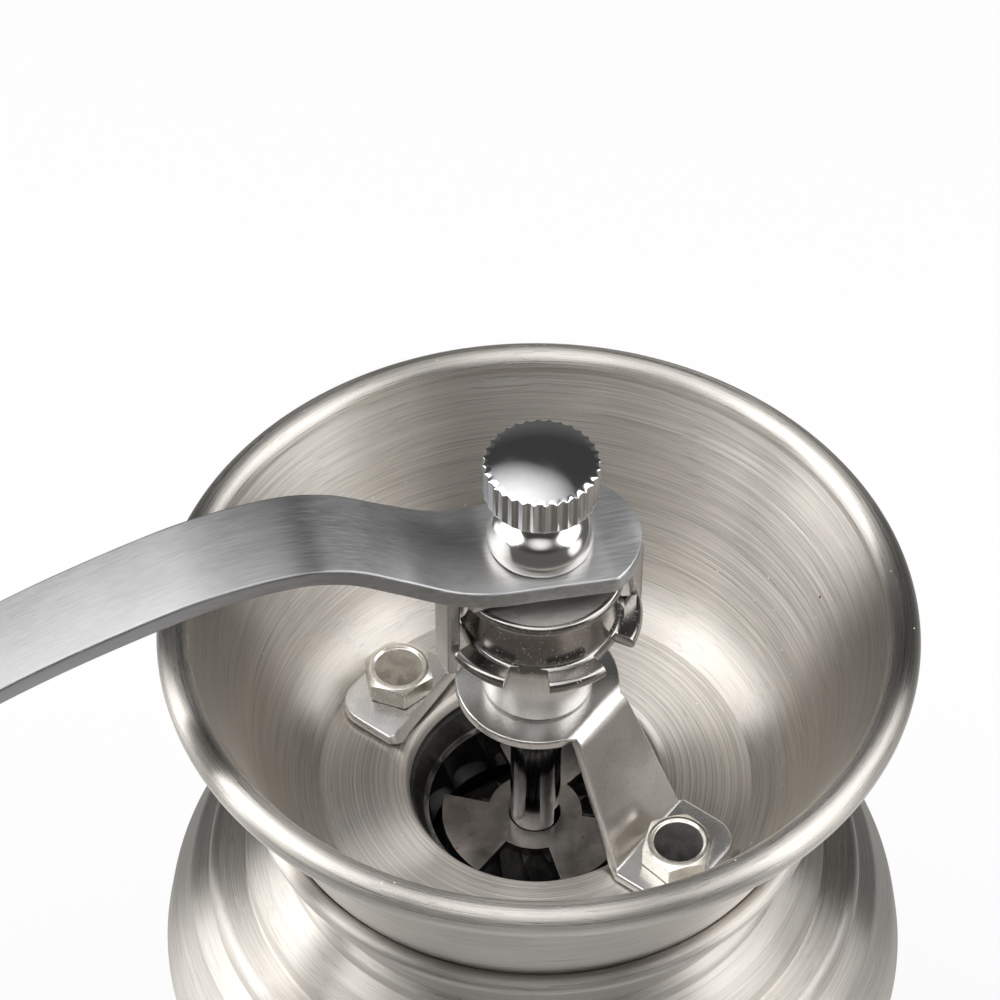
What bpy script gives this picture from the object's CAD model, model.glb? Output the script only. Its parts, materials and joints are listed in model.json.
# The looks of a hand-cranked coffee grinder. Metres, +Z up, the shaft is the Z axis, the table is
# z = 0 and the crank points along -X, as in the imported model.
import json
import math

import bmesh
import bpy
from mathutils import Matrix, Vector

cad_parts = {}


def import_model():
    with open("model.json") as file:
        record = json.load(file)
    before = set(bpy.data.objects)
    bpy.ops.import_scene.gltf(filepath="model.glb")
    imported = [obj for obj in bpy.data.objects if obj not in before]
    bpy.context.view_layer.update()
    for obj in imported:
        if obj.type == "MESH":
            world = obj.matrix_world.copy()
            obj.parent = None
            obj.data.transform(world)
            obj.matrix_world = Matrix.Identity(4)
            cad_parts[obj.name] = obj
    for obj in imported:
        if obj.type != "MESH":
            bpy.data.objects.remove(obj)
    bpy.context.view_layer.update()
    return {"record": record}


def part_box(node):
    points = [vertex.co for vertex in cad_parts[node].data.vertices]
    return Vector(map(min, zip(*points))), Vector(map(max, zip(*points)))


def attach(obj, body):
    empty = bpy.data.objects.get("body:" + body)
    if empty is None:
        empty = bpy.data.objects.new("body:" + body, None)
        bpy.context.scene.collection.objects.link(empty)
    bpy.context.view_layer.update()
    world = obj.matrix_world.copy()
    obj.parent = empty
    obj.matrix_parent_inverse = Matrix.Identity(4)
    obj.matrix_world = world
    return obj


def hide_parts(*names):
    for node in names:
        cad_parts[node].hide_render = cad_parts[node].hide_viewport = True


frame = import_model()

MM = 0.001
FULL_TURN = 2 * math.pi
MERGE = 0.0005 * MM

# Directions round the shaft, seen from above, counted from +X
CRANK_TURN = math.radians(180)
LOCK_TURN = math.radians(187.5)
NUT_TURN = math.radians(188)
BRIDGE_TURN = math.radians(-51.5)
BOLT_TURN = math.radians(-53)
FLAT_TURN = math.radians(-15)

body_of = {
    node: body for body, members in frame["record"]["behaviour"]["bodies"].items() for node in members
}


# Places in the frame
def bottom(node):
    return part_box(node)[0].z


def top(node):
    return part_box(node)[1].z


def reach(node):
    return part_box(node)[1].x


def centre_of(node):
    low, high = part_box(node)
    centre = (low + high) / 2
    return centre.x, centre.y


# Outlines: lists of (radius, height) points
def arc(x, y, radius, start, end, steps):
    angles = [math.radians(start + (end - start) * i / steps) for i in range(steps + 1)]
    return [(x + radius * math.cos(a), y + radius * math.sin(a)) for a in angles]


def spline(points, steps):
    """A smooth line through the points, with the same number of steps between each two."""
    ends = [points[0]] + list(points) + [points[-1]]
    line = []
    for i in range(1, len(ends) - 2):
        before, here, there, after = (Vector(p) for p in ends[i - 1:i + 3])
        for step in range(steps):
            t = step / steps
            bend = (2 * before - 5 * here + 4 * there - after) * t ** 2
            twist = (3 * here - before - 3 * there + after) * t ** 3
            line.append(tuple(0.5 * (2 * here + (there - before) * t + bend + twist)))
    return line + [tuple(points[-1])]


def filleted(corners, steps=6):
    """A line with rounded corners; each corner is (radius, height, size of its round)."""
    line = [corners[0][:2]]
    for before, here, after in zip(corners, corners[1:], corners[2:]):
        corner = Vector(here[:2])
        arriving = corner - Vector(before[:2])
        leaving = Vector(after[:2]) - corner
        turn = arriving.angle(leaving)
        if here[2] <= 0 or turn < math.radians(1):
            line.append(here[:2])
            continue
        cut = min(here[2] * math.tan(turn / 2), arriving.length * 0.49, leaving.length * 0.49)
        start = corner - arriving.normalized() * cut
        end = corner + leaving.normalized() * cut
        for i in range(steps + 1):
            t = i / steps
            weight = 2 * t * (1 - t) * math.cos(turn / 2)
            total = (1 - t) ** 2 + weight + t ** 2
            line.append(tuple(((1 - t) ** 2 * start + weight * corner + t ** 2 * end) / total))
    return line + [corners[-1][:2]]


def closed_fillets(corners, steps=4):
    """A closed outline with every corner rounded."""
    last, first = corners[-1], corners[0]
    start = [((last[0] + first[0]) / 2, (last[1] + first[1]) / 2, 0)]
    return filleted(start + corners + start, steps)[:-1]


def stretch(start, end, pieces):
    """Evenly spaced points from start, which is left out, to end."""
    return [
        (start[0] + (end[0] - start[0]) * i / pieces, start[1] + (end[1] - start[1]) * i / pieces)
        for i in range(1, pieces + 1)
    ]


def resampled(line, step, count=math.ceil):
    """The line with its long stretches cut into pieces of about one step."""
    fine = [line[0]]
    for start, end in zip(line, line[1:]):
        fine += stretch(start, end, max(1, count((Vector(end) - Vector(start)).length / step)))
    return fine


def mirrored(line):
    """One line made of the line and its mirror image across the shaft."""
    return [(-x, z) for x, z in line[::-1]] + line[1:]


def direction(line, i):
    """The line's own direction at its point i."""
    before = Vector(line[max(i - 1, 0)])
    after = Vector(line[min(i + 1, len(line) - 1)])
    return (after - before).normalized()


def offset(line, distance):
    """The line moved to its left."""
    moved = []
    for i, here in enumerate(line):
        along = direction(line, i)
        moved.append((here[0] - along.y * distance, here[1] + along.x * distance))
    return moved


def stepped_in(end, towards, length):
    """The end of a line, drawn back by a length, but not past half of its last stretch."""
    way = Vector(towards) - Vector(end)
    return tuple(Vector(end) + way.normalized() * min(length, way.length / 2))


def sheet(line, gauge):
    """The closed outline of a sheet that follows a line, with its two edges rounded."""
    inset = 0.3 * gauge
    sides = (offset(line, gauge / 2), offset(line, -gauge / 2)[::-1])
    outline = []
    for side, other in zip(sides, sides[::-1]):
        outline.append(stepped_in(side[0], side[1], inset))
        outline += side[1:-1]
        outline.append(stepped_in(side[-1], side[-2], inset))
        outline += [tuple(Vector(side[-1]).lerp(Vector(other[0]), share)) for share in (0.3, 0.7)]
    return outline


def between(x, x0, x1, y0, y1):
    share = min(max((x - x0) / (x1 - x0), 0), 1)
    return y0 + (y1 - y0) * share


# Node trees
class Tree:
    """A node tree and the short ways to add to it. A value is a socket or a number."""

    def __init__(self, tree):
        self.tree = tree

    def fill(self, socket, value):
        if isinstance(value, bpy.types.NodeSocket):
            self.tree.links.new(value, socket)
        else:
            socket.default_value = value

    def add(self, kind, inputs=None, **settings):
        made = self.tree.nodes.new(kind)
        for key, value in settings.items():
            setattr(made, key, value)
        for key, value in (inputs or {}).items():
            self.fill(made.inputs[key], value)
        return made

    def maths(self, operation, *values):
        return self.add("ShaderNodeMath", dict(enumerate(values)), operation=operation).outputs[0]

    def times(self, first, second):
        return self.maths("MULTIPLY", first, second)

    def over(self, first, second):
        return self.maths("DIVIDE", first, second)

    def plus(self, first, second):
        return self.maths("ADD", first, second)

    def less(self, first, second):
        return self.maths("SUBTRACT", first, second)

    def times_plus(self, first, second, third):
        return self.maths("MULTIPLY_ADD", first, second, third)

    def parts(self, vector):
        return self.add("ShaderNodeSeparateXYZ", {0: vector}).outputs

    def vector(self, x=0.0, y=0.0, z=0.0):
        return self.add("ShaderNodeCombineXYZ", {0: x, 1: y, 2: z}).outputs[0]

    def vector_maths(self, operation, *values, out="Vector"):
        made = self.add("ShaderNodeVectorMath", dict(enumerate(values)), operation=operation)
        return made.outputs[out]

    def ranged(self, value, low, high, new_low=0.0, new_high=1.0):
        return self.add("ShaderNodeMapRange", {
            "Value": value, "From Min": low, "From Max": high, "To Min": new_low, "To Max": new_high,
        }).outputs["Result"]

    def mixed(self, share, first, second):
        inputs = {"Factor": share, 6: first, 7: second}
        return self.add("ShaderNodeMix", inputs, data_type="RGBA").outputs[2]


# Turned pieces: a profile swept round an axis, with teeth where its points ask for them
def turned_tree():
    group = bpy.data.node_groups.new("turned_piece", "GeometryNodeTree")
    sockets = {
        "Profile": "Geometry", "Rows": "Int", "Segments": "Int", "Teeth": "Int",
        "Tooth Depth": "Float", "Tooth Power": "Float", "Twist": "Float", "Material": "Material",
    }
    for name, kind in sockets.items():
        group.interface.new_socket(name, in_out="INPUT", socket_type="NodeSocket" + kind)
    group.interface.new_socket("Geometry", in_out="OUTPUT", socket_type="NodeSocketGeometry")
    tree = Tree(group)
    given = tree.add("NodeGroupInput").outputs
    position = tree.add("GeometryNodeInputPosition").outputs[0]
    grid = tree.add("GeometryNodeMeshGrid", {
        "Size X": 1.0, "Size Y": 1.0,
        "Vertices X": tree.plus(given["Segments"], 1.0), "Vertices Y": given["Rows"],
    })
    x, y, _ = tree.parts(position)
    row = tree.maths("ROUND", tree.times(tree.plus(y, 0.5), tree.less(given["Rows"], 1.0)))
    around = tree.times(tree.plus(x, 0.5), FULL_TURN)

    def of_row(kind, value):
        inputs = {"Geometry": given["Profile"], "Value": value, "Index": row}
        made = tree.add("GeometryNodeSampleIndex", inputs, data_type=kind, domain="POINT")
        return made.outputs["Value"]

    def attribute(name):
        return tree.add("GeometryNodeInputNamedAttribute", {"Name": name}, data_type="FLOAT").outputs[0]

    radius, _, height = tree.parts(of_row("FLOAT_VECTOR", position))
    half_teeth = tree.times(given["Teeth"], 0.5)
    wave = tree.maths("ABSOLUTE", tree.maths("SINE", tree.times(around, half_teeth)))
    shaped = tree.maths("POWER", wave, given["Tooth Power"])
    tooth = tree.times(of_row("FLOAT", attribute("tooth")), given["Tooth Depth"])
    radius = tree.plus(radius, tree.times(tooth, shaped))
    angle = tree.times_plus(of_row("FLOAT", attribute("turning")), given["Twist"], around)
    x = tree.times(radius, tree.maths("COSINE", angle))
    y = tree.times(radius, tree.maths("SINE", angle))
    made = tree.add("GeometryNodeSetPosition", {
        "Geometry": grid.outputs[0], "Position": tree.vector(x, y, height),
    })
    for kind, inputs in (
        ("GeometryNodeMergeByDistance", {"Distance": MERGE}),
        ("GeometryNodeRealizeInstances", {}),
        ("GeometryNodeSetMaterial", {"Material": given["Material"]}),
    ):
        made = tree.add(kind, {"Geometry": made.outputs[0], **inputs})
    tree.add("NodeGroupOutput", {0: made.outputs[0]})
    return group


def new_object(name, mesh):
    piece = bpy.data.objects.new(name, mesh)
    bpy.context.scene.collection.objects.link(piece)
    return piece


def applied(piece):
    """The piece with its modifiers turned into plain mesh."""
    bpy.context.view_layer.update()
    evaluated = piece.evaluated_get(bpy.context.evaluated_depsgraph_get())
    mesh = bpy.data.meshes.new_from_object(evaluated)
    piece.modifiers.clear()
    piece.data = mesh
    return piece


def outward(mesh):
    work = bmesh.new()
    work.from_mesh(mesh)
    bmesh.ops.remove_doubles(work, verts=work.verts, dist=MERGE)
    bmesh.ops.recalc_face_normals(work, faces=work.faces)
    work.to_mesh(mesh)
    work.free()


def shaded(piece, sharp_degrees=40):
    piece.data.shade_smooth()
    piece.data.set_sharp_from_angle(angle=math.radians(sharp_degrees))
    return piece


def turned(name, profile, segments=192, centre=(0, 0), teeth=0, depth=0.0, power=1.0, twist=0.0,
           tooth_share=None, turn_share=None, closed=True, sharp_degrees=35):
    """A piece turned from a profile. tooth_share and turn_share are functions of (r, z)."""
    points = profile + profile[:1] if closed else profile
    mesh = bpy.data.meshes.new(name + "_profile")
    mesh.from_pydata([(r, 0, z) for r, z in points], [], [])
    for attribute, rule in (("tooth", tooth_share), ("turning", turn_share)):
        values = mesh.attributes.new(attribute, "FLOAT", "POINT").data
        for value, (r, z) in zip(values, points):
            value.value = rule(r, z) if rule else 0.0
    piece = new_object(name, mesh)
    modifier = piece.modifiers.new("turned", "NODES")
    modifier.node_group = TURNED
    for socket, value in (
        ("Rows", len(points)), ("Segments", segments), ("Teeth", teeth),
        ("Tooth Depth", depth), ("Tooth Power", power), ("Twist", twist),
    ):
        modifier[TURNED.interface.items_tree[socket].identifier] = value
    applied(piece)
    piece.data.transform(Matrix.Translation((centre[0], centre[1], 0)))
    outward(piece.data)
    return shaded(piece, sharp_degrees)


# Pieces made from rings of points, and what is done to them
def lofted(name, rings, turn=0.0):
    """A closed skin through rings of points, turned about the shaft."""
    work = bmesh.new()
    made = [[work.verts.new(p) for p in ring] for ring in rings]
    for lower, upper in zip(made, made[1:]):
        for i in range(len(lower)):
            j = (i + 1) % len(lower)
            work.faces.new((lower[i], lower[j], upper[j], upper[i]))
    work.faces.new(made[0][::-1])
    work.faces.new(made[-1])
    mesh = bpy.data.meshes.new(name)
    work.to_mesh(mesh)
    work.free()
    mesh.transform(Matrix.Rotation(turn, 4, "Z"))
    outward(mesh)
    return new_object(name, mesh)


def prism(name, outline, low, high, turn=0.0):
    """An upright block over an outline of (x, y) points."""
    return lofted(name, [[(x, y, z) for x, y in outline] for z in (low, high)], turn)


def strip(name, line, half_widths, gauge, turn, edge, steps=5):
    """A bent strip through (out, height) points, edge being the share of its gauge that is round."""
    rings = []
    for i, here in enumerate(line):
        along = direction(line, i)
        half = max(half_widths[i], 0.02 * MM)
        round_ = min(edge * gauge, half * 0.9)
        ring = []
        for side, level in ((1, 1), (-1, 1), (-1, -1), (1, -1)):
            for step in range(steps + 1):
                share = step / steps
                a = math.pi / 2 * (share if side == level else 1 - share)
                y = side * (half - round_ + round_ * math.cos(a))
                h = level * (gauge / 2 - round_ + round_ * math.sin(a))
                ring.append((here[0] - along.y * h, y, here[1] + along.x * h))
        rings.append(ring)
    return lofted(name, rings, turn)


def modified(piece, kind, **settings):
    modifier = piece.modifiers.new(kind.lower(), kind)
    for key, value in settings.items():
        setattr(modifier, key, value)
    return applied(piece)


def cut(piece, cutter, operation):
    modified(piece, "BOOLEAN", operation=operation, solver="EXACT", object=cutter)
    bpy.data.objects.remove(cutter)


def drilled(piece, radius, low, high, places=((0, 0),), segments=64):
    for place in places:
        outline = [(0, low), (radius, low), (radius, high), (0, high)]
        cut(piece, turned("drill", outline, segments, place, closed=False), "DIFFERENCE")


def bevelled(piece, width, segments=3, degrees=30):
    settings = {"width": width, "segments": segments, "angle_limit": math.radians(degrees)}
    return shaded(modified(piece, "BEVEL", limit_method="ANGLE", **settings))


def finished(piece, node, material):
    """Stands for a CAD node: rides on its body and takes its finish."""
    piece.name = "finished_" + node
    piece.data.name = piece.name
    piece.data.materials.clear()
    piece.data.materials.append(material)
    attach(piece, body_of[node])
    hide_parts(node)


# Hopper bowl
GAP = 0.3 * MM
SEAM = 0.1 * MM
DRILL_REACH = 3 * MM
BOWL_GAUGE = 1.0 * MM
BEAD_RADIUS = 2.6 * MM
FLOOR_RADIUS = 34.2 * MM
THROAT_RADIUS = 19.9 * MM
LIP_ROUND = 2.2 * MM
LIP_DROP = 2.2 * MM
bowl_wall_shares = (
    (0, 0), (0.1, 0.03), (0.235, 0.07), (0.375, 0.15), (0.475, 0.27), (0.6, 0.46), (0.79, 0.75), (1, 1),
)
rim_height = top("hopper_bowl") - BEAD_RADIUS
rim_radius = reach("hopper_bowl")
floor_top = bottom("bridge_bracket") - SEAM
floor_line = floor_top - BOWL_GAUGE / 2


def bowl_line():
    """The throat's lip, the wall and the curl of the rim."""
    half = BOWL_GAUGE / 2
    curl = BEAD_RADIUS - half
    curl_centre = rim_radius - BEAD_RADIUS
    throat = THROAT_RADIUS + half
    lip = filleted([
        (throat, floor_line - LIP_DROP, 0), (throat, floor_line, LIP_ROUND), (FLOOR_RADIUS, floor_line, 0),
    ], 10)
    run = curl_centre - curl - FLOOR_RADIUS
    rise = rim_height - floor_line
    wall = spline([(FLOOR_RADIUS + run * out, floor_line + rise * up) for out, up in bowl_wall_shares], 8)
    return lip, wall, arc(curl_centre, rim_height, curl, 180, -140, 40)


def hopper_bowl():
    lip, wall, curl = bowl_line()
    line = lip[:-1] + stretch(lip[-2], lip[-1], 6)[:-1] + wall[:-1] + curl
    bowl = turned("bowl", sheet(line, BOWL_GAUGE), 256, sharp_degrees=28)
    drilled(bowl, BOLT_RADIUS + GAP, floor_top - DRILL_REACH, floor_top + DRILL_REACH, bolt_places)
    return shaded(bowl, 28)


# Tiered body
DOME_GAUGE = 1.0 * MM
FLANGE_RADIUS = 23.8 * MM
COLLAR_RISE = 1.1 * MM
NECK_RADIUS = 39.6 * MM
NECK_DROP = 5.4 * MM
NECK_BEAD_RADIUS = 41 * MM
NECK_BEAD_DROP = 3.4 * MM
UPPER_TIER_RADIUS = 46.4 * MM
LOWER_TIER_RADIUS = 52.4 * MM
LOWER_TIER_RISE = 19.6 * MM
UPPER_TIER_RISE = 3.5 * MM
TIER_ROUND = 1.9 * MM
TIER_HOLLOW = 0.9 * MM
SKIRT_SWEEP = 14 * MM
DRUM_HEM = 2.4 * MM
HEM_ROUND = 0.8 * MM
SEAL_WALL = 2.2 * MM
CUP_NECK_STEP = 4.2 * MM
CUP_NECK_LENGTH = 13 * MM
DRUM_OVERHANG = 2.2 * MM
drum_radius = reach("mill_dome")
drum_height = bottom("mill_dome") + DRUM_HEM
cup_radius = drum_radius - DRUM_OVERHANG
cup_neck_radius = cup_radius - CUP_NECK_STEP


def dome_line():
    """From the flange under the bowl, over the collar and the neck, down the tiers to the hem."""
    half = DOME_GAUGE / 2
    nest = BOWL_GAUGE / 2 + GAP + half
    wall = bowl_line()[1]
    beside = offset(wall, -nest)[2:26]
    flange = floor_line - nest
    collar = arc(beside[-1][0] + COLLAR_RISE, beside[-1][1], COLLAR_RISE, 180, 0, 12)
    outer, high = collar[-1]
    neck_height = floor_top - NECK_DROP
    bead_height = neck_height - NECK_BEAD_DROP
    lower = drum_height + LOWER_TIER_RISE
    upper = lower + UPPER_TIER_RISE
    neck_radius, bead_radius, upper_radius, lower_radius, foot_radius = (
        radius - half
        for radius in (NECK_RADIUS, NECK_BEAD_RADIUS, UPPER_TIER_RADIUS, LOWER_TIER_RADIUS, drum_radius)
    )
    flare, fall = outer - NECK_RADIUS, high - neck_height
    shares = ((0.55, 0.8), (0.16, 0.42), (0, 0))
    neck_points = [(neck_radius + flare * out, neck_height + fall * up) for out, up in shares]
    neck = spline([collar[-1]] + neck_points, 8)
    bead = NECK_BEAD_RADIUS - NECK_RADIUS
    hem = drum_height - DRUM_HEM + half
    body = filleted([
        neck[-1] + (0,),
        (neck_radius, bead_height + 1.4 * bead, 0.6 * MM),
        (bead_radius, bead_height + bead / 2, 0.7 * MM),
        (bead_radius, bead_height - bead / 2, 0.8 * MM),
        ((bead_radius + upper_radius) / 2, (bead_height + upper) / 2 + 0.6 * MM, 3 * MM),
        (upper_radius, upper + TIER_HOLLOW, TIER_ROUND),
        (upper_radius, lower + 1.4 * MM, TIER_HOLLOW),
        (lower_radius, lower + 0.8 * MM, 1.8 * MM),
        (lower_radius, lower - DRUM_HEM * 0.9, TIER_HOLLOW),
        (LOWER_TIER_RADIUS + 2.6 * MM, lower - 2 * DRUM_HEM, 2.4 * MM),
        (foot_radius - DRUM_HEM / 2, drum_height + 3 * DRUM_HEM, SKIRT_SWEEP),
        (foot_radius, drum_height, 3 * MM),
        (foot_radius - DRUM_HEM / 3, hem, HEM_ROUND),
        (cup_neck_radius + SEAL_WALL + 2 * GAP, hem, 0),
    ], 10)
    start = [(FLANGE_RADIUS, flange), (wall[0][0] - MM, flange)]
    return start + beside + collar[1:] + neck[1:] + body[1:]


def mill_dome():
    dome = turned("dome", sheet(dome_line(), DOME_GAUGE), 256, sharp_degrees=30)
    high = floor_top - BOWL_GAUGE - GAP / 2
    drilled(dome, BOLT_RADIUS + GAP, floor_top - 5 * MM, high, bolt_places)
    return shaded(dome, 30)


# Receiver cup, its seal and its pad
CUP_GAUGE = 1.0 * MM
CUP_FOOT_RADIUS = 45 * MM
CUP_FOOT_CORNER = 13 * MM
CUP_SHOULDER_HEIGHT = 71 * MM
SEAL_FLANGE = 1.5 * MM
SEAL_HEIGHT = 9 * MM
RUBBER_EDGE = 0.4 * MM
PAD_EDGE = 0.6 * MM


def receiver_cup():
    half = CUP_GAUGE / 2
    floor = bottom("receiver_cup") + half
    wall = cup_radius - half
    neck = cup_neck_radius - half
    shoulder = CUP_SHOULDER_HEIGHT - half
    line = filleted([
        (0, floor, 0),
        (CUP_FOOT_RADIUS - 4 * MM, floor, 1 * MM),
        (wall, floor + 0.4 * MM, CUP_FOOT_CORNER),
        (wall, shoulder, 1.1 * MM),
        (neck, shoulder, 0.8 * MM),
        (neck, CUP_SHOULDER_HEIGHT + CUP_NECK_LENGTH, 0),
    ], 16)
    fine = resampled(line, 6 * MM, int)
    inside, outside = ([(0, side[0][1])] + side[1:] for side in (offset(fine, half), offset(fine, -half)))
    return turned("cup", inside + outside[::-1], closed=False, sharp_degrees=30)


def cup_seal():
    inside = cup_neck_radius + GAP
    lip = inside + SEAL_WALL
    low = CUP_SHOULDER_HEIGHT + SEAM
    high = low + SEAL_HEIGHT
    step = CUP_GAUGE / 2 + GAP
    corners = (
        (inside + step, low), (cup_radius, low), (cup_radius, low + SEAL_FLANGE),
        (lip, low + SEAL_FLANGE), (lip, high - SEAL_WALL), (inside + SEAL_WALL / 2, high),
        (inside, high), (inside, low + step),
    )
    return turned("seal", closed_fillets([place + (RUBBER_EDGE,) for place in corners]))


def ring_profile(inner, outer, low, high, edge):
    corners = ((inner, low), (outer, low), (outer, high), (inner, high))
    return closed_fillets([place + (edge,) for place in corners])


def non_slip_pad():
    low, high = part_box("non_slip_pad")
    corners = [(0, low.z, 0), (high.x, low.z, PAD_EDGE), (high.x, high.z, PAD_EDGE), (0, high.z, 0)]
    return turned("pad", filleted(corners), 128, closed=False)


# Bolts, washers and nuts
BOLT_CIRCLE = 27.8 * MM
BOLT_RADIUS = 3 * MM
HEX_WIDTH = 10 * MM
BURR_NUT_WIDTH = 13 * MM
BOLT_HEAD = 4 * MM
BOLT_DISH = 0.3 * MM
DISC_SHARE = 0.385
NUT_EASE = 0.3 * MM
WASHER_EDGE = 0.15 * MM
bolt_places = [
    (BOLT_CIRCLE * math.cos(a), BOLT_CIRCLE * math.sin(a)) for a in (BOLT_TURN, BOLT_TURN + math.pi)
]


def hex_bar(width, low, high, centre, turn):
    corner = width / math.sqrt(3)
    turns = [turn + i * FULL_TURN / 6 for i in range(6)]
    outline = [(centre[0] + corner * math.cos(a), centre[1] + corner * math.sin(a)) for a in turns]
    return prism("hex", outline, low, high)


def clamp_bolt(node, place, turn):
    low, high = bottom(node), top(node)
    seat = high - BOLT_HEAD
    flat = 0.475 * HEX_WIDTH
    wide = 0.62 * HEX_WIDTH
    slope = math.tan(math.radians(30))
    profile = filleted([
        (0, seat, 0),
        (0.99 * flat, seat, 0.1 * MM),
        (wide, seat + 0.25 * MM, 0),
        (wide, high - (wide - flat) * slope, 0),
        (flat, high - 0.05 * MM, 0.3 * MM),
        (0.9 * flat, high, 0.2 * MM),
        (DISC_SHARE * HEX_WIDTH, high - BOLT_DISH, 0.35 * MM),
        (0, high - BOLT_DISH * 1.1, 0),
    ], 5)
    head = bevelled(hex_bar(HEX_WIDTH, seat, high + MM, place, turn), 0.15 * MM)
    cut(head, turned("envelope", profile, 128, place, closed=False), "INTERSECT")
    joined = seat + 0.5 * MM
    corners = [(0, low, 0), (BOLT_RADIUS, low, 0.5 * MM), (BOLT_RADIUS, joined, 0), (0, joined, 0)]
    cut(head, turned("shank", filleted(corners), 64, place, closed=False), "UNION")
    return shaded(head, 22)


def hex_nut(node, width, bore, turn):
    low, high = bottom(node), top(node)
    place = centre_of(node)
    flat = 0.465 * width
    wide = 0.62 * width
    lean = (wide - flat) * math.tan(math.radians(28))
    profile = [
        (bore + NUT_EASE, low), (flat, low), (wide, low + lean), (wide, high - lean), (flat, high),
        (bore + NUT_EASE, high), (bore, high - NUT_EASE), (bore, low + NUT_EASE),
    ]
    nut = bevelled(hex_bar(width, low - MM, high + MM, place, turn), 0.2 * MM, 2)
    cut(nut, turned("envelope", profile, 96, place), "INTERSECT")
    return shaded(nut, 22)


def flat_washer(node, bore):
    low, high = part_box(node)
    profile = ring_profile(bore, (high.x - low.x) / 2, low.z, high.z, WASHER_EDGE)
    return turned("washer", profile, 96, centre_of(node))


# Bridge over the throat
BRIDGE_GAUGE = 1.8 * MM
BRIDGE_EDGE = 0.22
PLATFORM_RADIUS = 12.6 * MM
LEG_TOP_RADIUS = 11.6 * MM
LEG_TOP_BEND = 2.4 * MM
LEG_FOOT_BEND = 1.6 * MM
LEG_TOP_WIDTH = 11.8 * MM
LEG_FOOT_WIDTH = 16.9 * MM
FOOT_WIDTH = 18.4 * MM
FOOT_MARGIN = 5.6 * MM
FOOT_CORNER = 4.5 * MM
LEG_BOLT_GAP = 0.83 * MM
BOSS_NECK_RADIUS = 6 * MM
leg_foot_radius = BOLT_CIRCLE - HEX_WIDTH / math.sqrt(3) - LEG_BOLT_GAP
foot_reach = BOLT_CIRCLE + FOOT_MARGIN


def bridge_half_width(x):
    neck_x = math.sqrt(PLATFORM_RADIUS ** 2 - (LEG_TOP_WIDTH / 2) ** 2)
    tab = leg_foot_radius + BRIDGE_GAUGE / 2
    if x < neck_x:
        return math.sqrt(PLATFORM_RADIUS ** 2 - x ** 2)
    if x < leg_foot_radius:
        return between(x, neck_x, leg_foot_radius, LEG_TOP_WIDTH / 2, LEG_FOOT_WIDTH / 2)
    if x < foot_reach - FOOT_CORNER:
        return between(x, leg_foot_radius, tab, LEG_FOOT_WIDTH / 2, FOOT_WIDTH / 2)
    past = min(x - foot_reach + FOOT_CORNER, FOOT_CORNER)
    return FOOT_WIDTH / 2 - FOOT_CORNER + math.sqrt(max(FOOT_CORNER ** 2 - past ** 2, 0))


def bolted_strip(name, line, half_widths, gauge, turn, middle, feet):
    """A strip with a hole for the shaft's bearing and one for each bolt."""
    made = strip(name, line, half_widths, gauge, turn, BRIDGE_EDGE)
    drilled(made, BOSS_NECK_RADIUS + GAP, middle - DRILL_REACH, middle + DRILL_REACH)
    drilled(made, BOLT_RADIUS + GAP, feet - DRILL_REACH, feet + DRILL_REACH, bolt_places)
    return shaded(made)


def bridge_bracket():
    deck = top("bridge_bracket") - BRIDGE_GAUGE / 2
    foot = bottom("bridge_bracket") + BRIDGE_GAUGE / 2
    half_line = filleted([
        (0, deck, 0),
        (LEG_TOP_RADIUS, deck, LEG_TOP_BEND),
        (leg_foot_radius, foot, LEG_FOOT_BEND),
        (foot_reach, foot, 0),
    ], 12)
    corner_start = foot_reach - FOOT_CORNER
    fine = [p for p in resampled(half_line, 0.5 * MM) if p[0] < corner_start - SEAM]
    fine += [(corner_start + FOOT_CORNER * math.sin(i / 12 * math.pi / 2), foot) for i in range(13)]
    line = mirrored(fine)
    half_widths = [bridge_half_width(abs(x)) for x, _ in line]
    return bolted_strip("bridge", line, half_widths, BRIDGE_GAUGE, BRIDGE_TURN, deck, foot)


# Strap under the burr
STRAP_GAUGE = 1.6 * MM
STRAP_WIDTH = 18 * MM
STRAP_REACH = 35.5 * MM
STRAP_BEND = 2.2 * MM
STRAP_LIP = 23.6 * MM


def lower_bridge():
    bar = bottom("lower_bridge") + STRAP_GAUGE / 2
    ear = top("lower_bridge") - STRAP_GAUGE / 2
    half_line = filleted([
        (0, bar, 0), (STRAP_REACH, bar, STRAP_BEND), (STRAP_REACH, ear, STRAP_BEND), (STRAP_LIP, ear, 0),
    ], 10)
    line = mirrored(resampled(half_line, 1 * MM))
    return bolted_strip("strap", line, [STRAP_WIDTH / 2] * len(line), STRAP_GAUGE, BOLT_TURN, bar, ear)


# Bushings
SHAFT_RADIUS = 4 * MM
JOURNAL_RADIUS = 3 * MM
BUSHING_TAIL_RADIUS = 7.4 * MM
BUSHING_TAIL = 1.6 * MM
BOSS_RADIUS = 8.5 * MM
BOSS_EDGE = 0.35 * MM
LOWER_FLANGE = 1.4 * MM
BEARING_EDGE = 0.25 * MM


def bushing(name, node, bore, waist_top, flange_radius, flange_rounds, edge, segments):
    """A bushing with a tail under its plate and a flange above it, up to the top of the node."""
    low, high = bottom(node), top(node)
    return turned(name, closed_fillets([
        (bore, low, edge),
        (BUSHING_TAIL_RADIUS, low, edge),
        (BUSHING_TAIL_RADIUS, low + BUSHING_TAIL, edge),
        (BOSS_NECK_RADIUS, low + BUSHING_TAIL, 0),
        (BOSS_NECK_RADIUS, waist_top, 0),
        (flange_radius, waist_top, flange_rounds[0]),
        (flange_radius, high, flange_rounds[1]),
        (bore, high, edge),
    ]), segments)


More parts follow.
